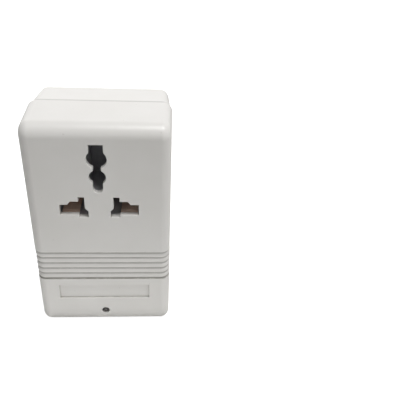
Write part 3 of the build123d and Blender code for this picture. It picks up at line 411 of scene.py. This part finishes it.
winding_tape = make_plain("polyester_tape_yellow", "#D8B23C", "#C9A02E", 0.28, 6.0, 0.5, 0.006, IOR=1.6)
resistor_coat = make_plain("resistor_lacquer", "#CDB07E", "#BE9F6C", 0.3, 1.0, 0.2, 0.004, IOR=1.5)
print("made", bobbin_nylon.name, lamp_resin.name, wire_red.name)

# %% [markdown]
# Label film: white coated paper, die cut
#
# A small label gathers dirt where its glue creeps out, so its rim shows as a fine grey ring; the ring also
# paints the shadow at the label's edge. This kind also has a wavy cut through it, so that it tears when
# somebody pulls it off. Both are drawn by distance: from the middle of the label for the ring, and from a
# wavy line for the cut.

# %% Label film
WAVE_PER_METRE = 2.4 / MM  # radians
WAVE_HEIGHT = 0.35 * MM
CUT_CORE, CUT_EDGE = 0.04 * MM, 0.12 * MM
# Where the grey rim ring, glue dirt and painted edge shadow at once, starts and is full.
RIM_DIRT_AND_SHADE_START, RIM_DIRT_AND_SHADE_FULL = 0.93, 0.975  # shares of the label's radius
CUT_START, CUT_FULL = 0.40, 0.45


def corners_of(node_name):
    """Lowest and highest corner of a CAD node's box."""
    return [Vector(corner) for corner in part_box(node_name)]


def make_label_film(name):
    """Coated paper with a dirty rim that also paints the edge shadow, and a fine wavy cut through its left
    and right parts.
    """
    material, tree, shader = start_material(name, IOR=1.5)
    low, high = corners_of("round_sticker")
    centre = (low + high) / 2
    radius = (high.x - low.x) / 2
    coordinates = add(tree, "TexCoord").outputs["Object"]
    offset = add(tree, "VectorMath", {0: coordinates, 1: centre}, operation="SUBTRACT").outputs[0]
    flat = add(tree, "VectorMath", {0: offset, 1: (1, 0, 1)}, operation="MULTIPLY").outputs[0]
    from_middle = add(tree, "VectorMath", {0: flat}, operation="LENGTH").outputs["Value"]
    spot = add(tree, "SeparateXYZ", {0: flat}).outputs
    # The grey rim ring is glue dirt and painted edge shadow at once.
    ring = remap(tree, from_middle, RIM_DIRT_AND_SHADE_START * radius, RIM_DIRT_AND_SHADE_FULL * radius, 0.0, 0.75)
    ringed = blend(tree, ring, drift(tree, 3.0, 3.0, "#F6F6F4", "#EEEEEB"), "#8B8984")
    wave = calculate(tree, "SINE", calculate(tree, "MULTIPLY", spot["X"], WAVE_PER_METRE))
    from_cut = calculate(tree, "SUBTRACT", spot["Z"], calculate(tree, "MULTIPLY", wave, WAVE_HEIGHT))
    cut = remap(tree, calculate(tree, "ABSOLUTE", from_cut), CUT_CORE, CUT_EDGE, 0.7, 0.0)
    outer_part = remap(tree, calculate(tree, "ABSOLUTE", spot["X"]), CUT_START * radius, CUT_FULL * radius)
    torn = calculate(tree, "MULTIPLY", cut, outer_part)
    tree.links.new(blend(tree, torn, ringed, "#96948F"), shader.inputs["Base Color"])
    patchy_gloss(tree, shader, 1.5, 0.29, 0.38)
    relief(tree, shader, grain(tree, 0.25, 2.0), 0.004, 0.6)
    return material


label_film = make_label_film("label_paper_coated")
print("made", label_film.name)

# %% [markdown]
# Finishes on the CAD pieces
#
# The frame has already split the model into named pieces, each with one material slot. The table gives each
# piece its finish. Nothing is left with the plain colour that it came with.

# %% Assign the finishes
finish_of = {
    "front_casing": abs_casing, "rear_casing": abs_casing, "plug_insert": abs_insert,
    "live_blade": nickel_plate, "neutral_blade": nickel_plate, "selector_knob": knob_nylon,
    "selector_contact": spring_bronze, "switch_body": switch_phenolic, "switch_terminals": tinned_brass,
    "switch_frame": zinc_sheet, "case_screws": screw_steel, "cover_screws": screw_steel,
    "contact_carrier": carrier_plastic, "contact_cover": carrier_plastic, "live_contact": contact_brass,
    "neutral_contact": contact_brass, "core_e_stack": core_steel, "core_i_stack": core_steel,
    "core_strap": zinc_sheet, "bobbin": bobbin_nylon, "bobbin_pins": tinned_brass,
    "primary_winding": copper_wire, "winding_tape": winding_tape, "secondary_winding": copper_wire,
    "thermal_fuse": fuse_body, "led_board": board_laminate, "indicator_lamp": lamp_resin,
    "led_resistor": resistor_coat, "led_diode": diode_epoxy, "round_sticker": label_film,
    "live_input_lead": wire_red, "common_lead": wire_black, "low_tap_lead": wire_yellow,
    "high_tap_lead": wire_blue, "live_output_lead": wire_red, "neutral_output_lead": wire_black,
    "lamp_lead_plus": wire_red, "lamp_lead_minus": wire_black,
}
for node_name, finish in finish_of.items():
    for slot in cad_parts[node_name].material_slots:
        slot.material = finish
missing = sorted(set(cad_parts) - set(finish_of))
print("finishes given:", len(finish_of), "without a finish:", missing)

# %% [markdown]
# Floor
#
# The object stands on a wide, matt, pale floor. For the camera alone the floor also glows a little, less near
# the object and more further out. So the background goes white while the shadow at the foot stays.

# %% Floor
FLOOR_HALF = 3.0  # metres
GLOW_NEAR, GLOW_FAR = 0.12, 0.5  # metres from the middle
GLOW_LEAST, GLOW_MOST = 0.86, 1.02

floor_corners = [(x * FLOOR_HALF, y * FLOOR_HALF, 0) for x, y in ((-1, -1), (1, -1), (1, 1), (-1, 1))]
floor_mesh = bpy.data.meshes.new("floor")
floor_mesh.from_pydata(floor_corners, [], [(0, 1, 2, 3)])
floor = bpy.data.objects.new("floor", floor_mesh)
bpy.context.scene.collection.objects.link(floor)
floor_paint, floor_tree, floor_shader = start_material("floor_matte_white", Roughness=0.9)
floor_shader.inputs["Base Color"].default_value = linear("#DCDCDA")
floor_shader.inputs["Specular IOR Level"].default_value = 0.0
floor_spot = add(floor_tree, "TexCoord").outputs["Object"]
from_object = add(floor_tree, "VectorMath", {0: floor_spot}, operation="LENGTH").outputs["Value"]
glow_strength = remap(floor_tree, from_object, GLOW_NEAR, GLOW_FAR, GLOW_LEAST, GLOW_MOST)
floor_glow = add(floor_tree, "Emission", {"Color": (1, 1, 1, 1), "Strength": glow_strength})
floor_sum = add(floor_tree, "AddShader", {0: floor_shader.outputs[0], 1: floor_glow.outputs[0]})
seen_by_camera = add(floor_tree, "LightPath").outputs["Is Camera Ray"]
floor_pick = add(floor_tree, "MixShader", {0: seen_by_camera, 1: floor_shader.outputs[0],
                                           2: floor_sum.outputs[0]})
floor_tree.links.new(floor_pick.outputs[0], floor_tree.nodes["Material Output"].inputs["Surface"])
floor_mesh.materials.append(floor_paint)
print("floor side:", 2 * FLOOR_HALF, "m")

# %% [markdown]
# Light
#
# The world gives a weak light from all round, and is white where the camera, a reflection or a ray through
# clear material meets it. The large key lamp hangs high up, a little to the right. A lamp on the right and a
# weaker one on the left lift the sides, and a lamp far behind lights the back and the top. The back lamp and
# the left lamp aren't seen in reflections, so they leave no bright patch on the satin plastic. A small card
# of light lies on the floor in front of the face and shines upwards, as a white table would, and gives the
# face its soft gradient.

# %% Light
ROOM_STRENGTH = 0.13

world = bpy.data.worlds.new("studio")
world.use_nodes = True
bpy.context.scene.world = world
sky_tree = world.node_tree
sky_tree.nodes.clear()
ray = add(sky_tree, "LightPath").outputs
seen = calculate(sky_tree, "MAXIMUM", ray["Is Camera Ray"], ray["Is Glossy Ray"])
seen = calculate(sky_tree, "MAXIMUM", seen, ray["Is Transmission Ray"])
room_light = add(sky_tree, "Background", {"Color": (1, 1, 1, 1), "Strength": ROOM_STRENGTH})
white_room = add(sky_tree, "Background", {"Color": (1, 1, 1, 1), "Strength": 1.0})
sky_mix = add(sky_tree, "MixShader", {0: seen, 1: room_light.outputs[0], 2: white_room.outputs[0]})
add(sky_tree, "OutputWorld", {"Surface": sky_mix.outputs[0]})


def soft_lamp(name, place_mm, aim_mm, side_mm, power):
    """Square lamp at a place, turned to an aim point; its power is in watts."""
    data = bpy.data.lights.new(name, "AREA")
    data.shape = "SQUARE"
    data.size = side_mm * MM
    data.energy = power
    lamp = bpy.data.objects.new(name, data)
    lamp.location = Vector(place_mm) * MM
    direction = (Vector(aim_mm) - Vector(place_mm)).normalized()
    lamp.rotation_euler = direction.to_track_quat("-Z", "Y").to_euler()
    bpy.context.scene.collection.objects.link(lamp)
    return lamp


MIDDLE = (0, 0, 45)
# Name, place, aim and side in mm, power in watts.
key_lamp = soft_lamp("key_lamp", (170, -90, 760), (0, 0, 50), 380, 4.0)
right_lamp = soft_lamp("right_lamp", (900, -420, 260), MIDDLE, 400, 1.15)
back_lamp = soft_lamp("back_lamp", (-260, 900, 240), MIDDLE, 500, 5.5)
left_lamp = soft_lamp("left_lamp", (-800, -420, 260), MIDDLE, 400, 0.4)
floor_card = soft_lamp("floor_card", (0, -75, 2), (0, -75, 100), 100, 0.013)
floor_card.visible_camera = False
for lamp in (back_lamp, left_lamp):
    lamp.visible_glossy = False
print("lamps:", [lamp.name for lamp in (key_lamp, right_lamp, back_lamp, left_lamp, floor_card)])

# %% [markdown]
# Helpers for modelled pieces
#
# Each piece below is built from loops of vertices that are joined by quads, and ends as a closed skin. The
# last step is the same for all: the skin becomes a named object that rides on the housing, and the plain CAD
# solid that it stands for is hidden.

# %% Helpers for modelled pieces
def join_loops(mesh, loops):
    """Quads between each loop of vertices and the next."""
    for lower, upper in zip(loops, loops[1:]):
        for number in range(len(lower)):
            follow = (number + 1) % len(lower)
            mesh.faces.new((lower[number], lower[follow], upper[follow], upper[number]))


def finish_piece(name, mesh, material, node_name, slot_name):
    """Turn a closed mesh into a named piece that rides on the housing and stands for a CAD node."""
    bmesh.ops.recalc_face_normals(mesh, faces=mesh.faces)
    data = bpy.data.meshes.new(name)
    mesh.to_mesh(data)
    mesh.free()
    data.materials.append(material)
    piece = bpy.data.objects.new(name, data)
    bpy.context.scene.collection.objects.link(piece)
    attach(piece, "housing")
    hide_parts(node_name)
    return piece


print("helpers:", join_loops.__name__, finish_piece.__name__)

# %% [markdown]
# Round label
#
# The back carries a small round label of thin coated paper, ten millimetres across. A cut disc would look
# like a coin, so this one is made as paper is: rings round a middle point, a rim that curls up by about a
# hundredth of a millimetre and wanders in and out by a few hundredths, and a small nick where it was
# handled. It stays within the thickness of its CAD disc.

# %% Round label
RIM_POINTS = 96
RING_SHARES = (0.35, 0.65, 0.85, 0.95, 0.99, 1.0)
NICK_SHARE = 0.9  # rings further out than this follow the nick
NICK_ANGLE, NICK_WIDTH = 2.75, 0.07  # radians
NICK_DEPTH = 0.085  # share of the radius, as the next one
RIM_WANDER = 0.006
RIM_WAVES = 5
PAPER_LEVEL, CURL, HIGHEST_LEVEL = 0.62, 0.12, 0.98  # shares of the CAD disc's thickness


def make_round_label(name):
    """Thin paper disc with a nicked rim and a faint curl, facing out of the back."""
    low, high = corners_of("round_sticker")
    centre = (low + high) / 2
    radius = (high.x - low.x) / 2
    thickness = high.y - low.y
    mesh = bmesh.new()
    middle = mesh.verts.new((centre.x, low.y + PAPER_LEVEL * thickness, centre.z))
    rings = []
    for share in RING_SHARES:
        ring = []
        for number in range(RIM_POINTS):
            angle = 2 * math.pi * number / RIM_POINTS
            from_nick = math.atan2(math.sin(angle - NICK_ANGLE), math.cos(angle - NICK_ANGLE))
            nick = NICK_DEPTH * math.exp(-(from_nick / NICK_WIDTH) ** 2)
            wander = RIM_WANDER * (1 + math.sin(angle * RIM_WAVES))
            reach = radius * share * (1 - nick - wander if share > NICK_SHARE else 1.0)
            curl = CURL * share ** 6 * (0.5 + 0.5 * math.sin(angle * 2 + 0.6))
            level = low.y + thickness * min(PAPER_LEVEL + curl, HIGHEST_LEVEL)
            ring.append(mesh.verts.new((centre.x + reach * math.cos(angle), level,
                                        centre.z + reach * math.sin(angle))))
        rings.append(ring)
    for number in range(RIM_POINTS):
        mesh.faces.new((middle, rings[0][(number + 1) % RIM_POINTS], rings[0][number]))
    under = [mesh.verts.new((vertex.co.x, low.y, vertex.co.z)) for vertex in rings[-1]]
    join_loops(mesh, rings + [under])
    mesh.faces.new(under)
    piece = finish_piece(name, mesh, label_film, "round_sticker", "sticker_film")
    for face in piece.data.polygons:
        face.use_smooth = len(face.vertices) <= 4
    return piece


round_label = make_round_label("round_label")
print("label vertices:", len(round_label.data.vertices))

# %% [markdown]
# Copper windings
#
# A winding is one long wire, laid turn beside turn round the bobbin. Stripes in a material could hint at
# the turns, but the outline would stay straight. So each turn is a real ridge: a plan line that stays one
# reach away from the core's middle leg is repeated up the bobbin, and its reach follows the round of the
# wire. A turn that lies a little looser than the next keeps it from looking like a machined thread.

# %% Copper windings
core_low, core_high = corners_of("core_e_stack")
core_unit = (core_high.x - core_low.x) / 6  # the middle leg is two units wide
LEG_CLEARANCE = 0.15 * MM
BOBBIN_WALL = 0.9 * MM
LAYER_GAP = 0.05 * MM
INNER_WIRE = 0.5 * MM
OUTER_WIRE = 0.8 * MM
CORNER_STEPS = 8
ROWS_PER_TURN = 4
TURN_SINK = 0.35  # depth of the groove between two turns, as a share of the wire
LOOSENESS = 0.02 * MM
LOOSENESS_STEP = 2.4  # radians from one turn to the next, so that no two beside each other match


def outer_reach_of(node_name):
    """How far a winding's outside stands from the core's middle leg."""
    low, high = corners_of(node_name)
    return (high.x - low.x) / 2 - core_unit - LEG_CLEARANCE


def wound_line(reach):
    """Plan line that stays a reach away from the middle leg, as a wire does when it is wound round it."""
    half_width = core_unit + LEG_CLEARANCE
    half_depth = (core_high.y - core_low.y) / 2 + LEG_CLEARANCE
    points = []
    for number, (side, front) in enumerate(((1, 1), (-1, 1), (-1, -1), (1, -1))):
        for step in range(CORNER_STEPS + 1):
            angle = math.pi / 2 * (number + step / CORNER_STEPS)
            points.append((side * half_width + reach * math.cos(angle),
                           front * half_depth + reach * math.sin(angle)))
    return points


def make_wound_coil(name, node_name, inner_reach, wire):
    """Closed ring of wire turns between the reach inside it and the CAD node's own outside."""
    low, high = corners_of(node_name)
    outer_reach = outer_reach_of(node_name)
    turns = round((high.z - low.z) / wire)
    rows = [(low.z, inner_reach)]
    for row in range(turns * ROWS_PER_TURN + 1):
        turn, step = divmod(row, ROWS_PER_TURN)
        across = 2 * step / ROWS_PER_TURN - 1
        sink = TURN_SINK * wire * (1 - math.sqrt(1 - across ** 2))
        loose = LOOSENESS * (1 + math.sin(turn * LOOSENESS_STEP)) if step else 0.0
        level = low.z + (high.z - low.z) * row / (turns * ROWS_PER_TURN)
        rows.append((level, outer_reach - sink - loose))
    rows.append((high.z, inner_reach))
    mesh = bmesh.new()
    loops = [[mesh.verts.new((x, y, z)) for x, y in wound_line(reach)] for z, reach in rows]
    join_loops(mesh, loops + loops[:1])
    piece = finish_piece(name, mesh, copper_wire, node_name, "winding_copper")
    for face in piece.data.polygons:
        face.use_smooth = abs(face.normal.z) < 0.99
    print(name, "turns:", turns, "faces:", len(piece.data.polygons))
    return piece


make_wound_coil("inner_wire_turns", "primary_winding", BOBBIN_WALL + LAYER_GAP, INNER_WIRE)
make_wound_coil("outer_wire_turns", "secondary_winding", outer_reach_of("winding_tape") + LAYER_GAP,
                OUTER_WIRE)

# %% [markdown]
# Core plates
#
# A transformer's core is a pile of thin plates, stamped from sheet and pressed together, because a solid
# block of steel would heat up. The stamped edges are slightly rounded, so a fine groove shows between two
# plates. The outline of one plate is repeated along the depth, and drawn in a little at each joint.

# %% Core plates
PLATE = 0.5 * MM
GROOVE = 0.05 * MM


def drawn_in(outline, amount):
    """The same outline with every side moved inwards; its sides run only along X and Z."""
    moved = []
    for number, (x, z) in enumerate(outline):
        before = outline[number - 1]
        after = outline[(number + 1) % len(outline)]
        into = (x - before[0], z - before[1])
        out_of = (after[0] - x, after[1] - z)
        shift_x = -sum(math.copysign(1, step[1]) for step in (into, out_of) if abs(step[1]) > abs(step[0]))
        shift_z = sum(math.copysign(1, step[0]) for step in (into, out_of) if abs(step[0]) > abs(step[1]))
        moved.append((x + shift_x * amount, z + shift_z * amount))
    return moved


def make_plate_stack(name, node_name, outline):
    """Pile of plates with a fine groove at each joint, as deep as the CAD node."""
    low, high = corners_of(node_name)
    plates = round((high.y - low.y) / PLATE)
    pitch = (high.y - low.y) / plates
    rows = []
    for number in range(plates):
        start = low.y + number * pitch
        rows += [(start, GROOVE), (start + GROOVE, 0.0), (start + pitch - GROOVE, 0.0)]
    rows.append((high.y, GROOVE))
    mesh = bmesh.new()
    loops = [[mesh.verts.new((x, y, z)) for x, z in drawn_in(outline, amount)] for y, amount in rows]
    join_loops(mesh, loops)
    mesh.faces.new(loops[0])
    mesh.faces.new(loops[-1])
    piece = finish_piece(name, mesh, core_steel, node_name, "core_steel")
    print(name, "plates:", plates, "faces:", len(piece.data.polygons))
    return piece


window_floor = core_low.z + core_unit
# Across the E the places are in core units from its middle: legs at the two ends and in the middle.
e_outline = [(-3, core_low.z), (3, core_low.z), (3, core_high.z), (2, core_high.z), (2, window_floor),
             (1, window_floor), (1, core_high.z), (-1, core_high.z), (-1, window_floor), (-2, window_floor),
             (-2, core_high.z), (-3, core_high.z)]
make_plate_stack("e_core_plates", "core_e_stack", [(share * core_unit, z) for share, z in e_outline])
bar_low, bar_high = corners_of("core_i_stack")
make_plate_stack("i_core_plates", "core_i_stack", [(bar_low.x, bar_low.z), (bar_high.x, bar_low.z),
                                                   (bar_high.x, bar_high.z), (bar_low.x, bar_high.z)])
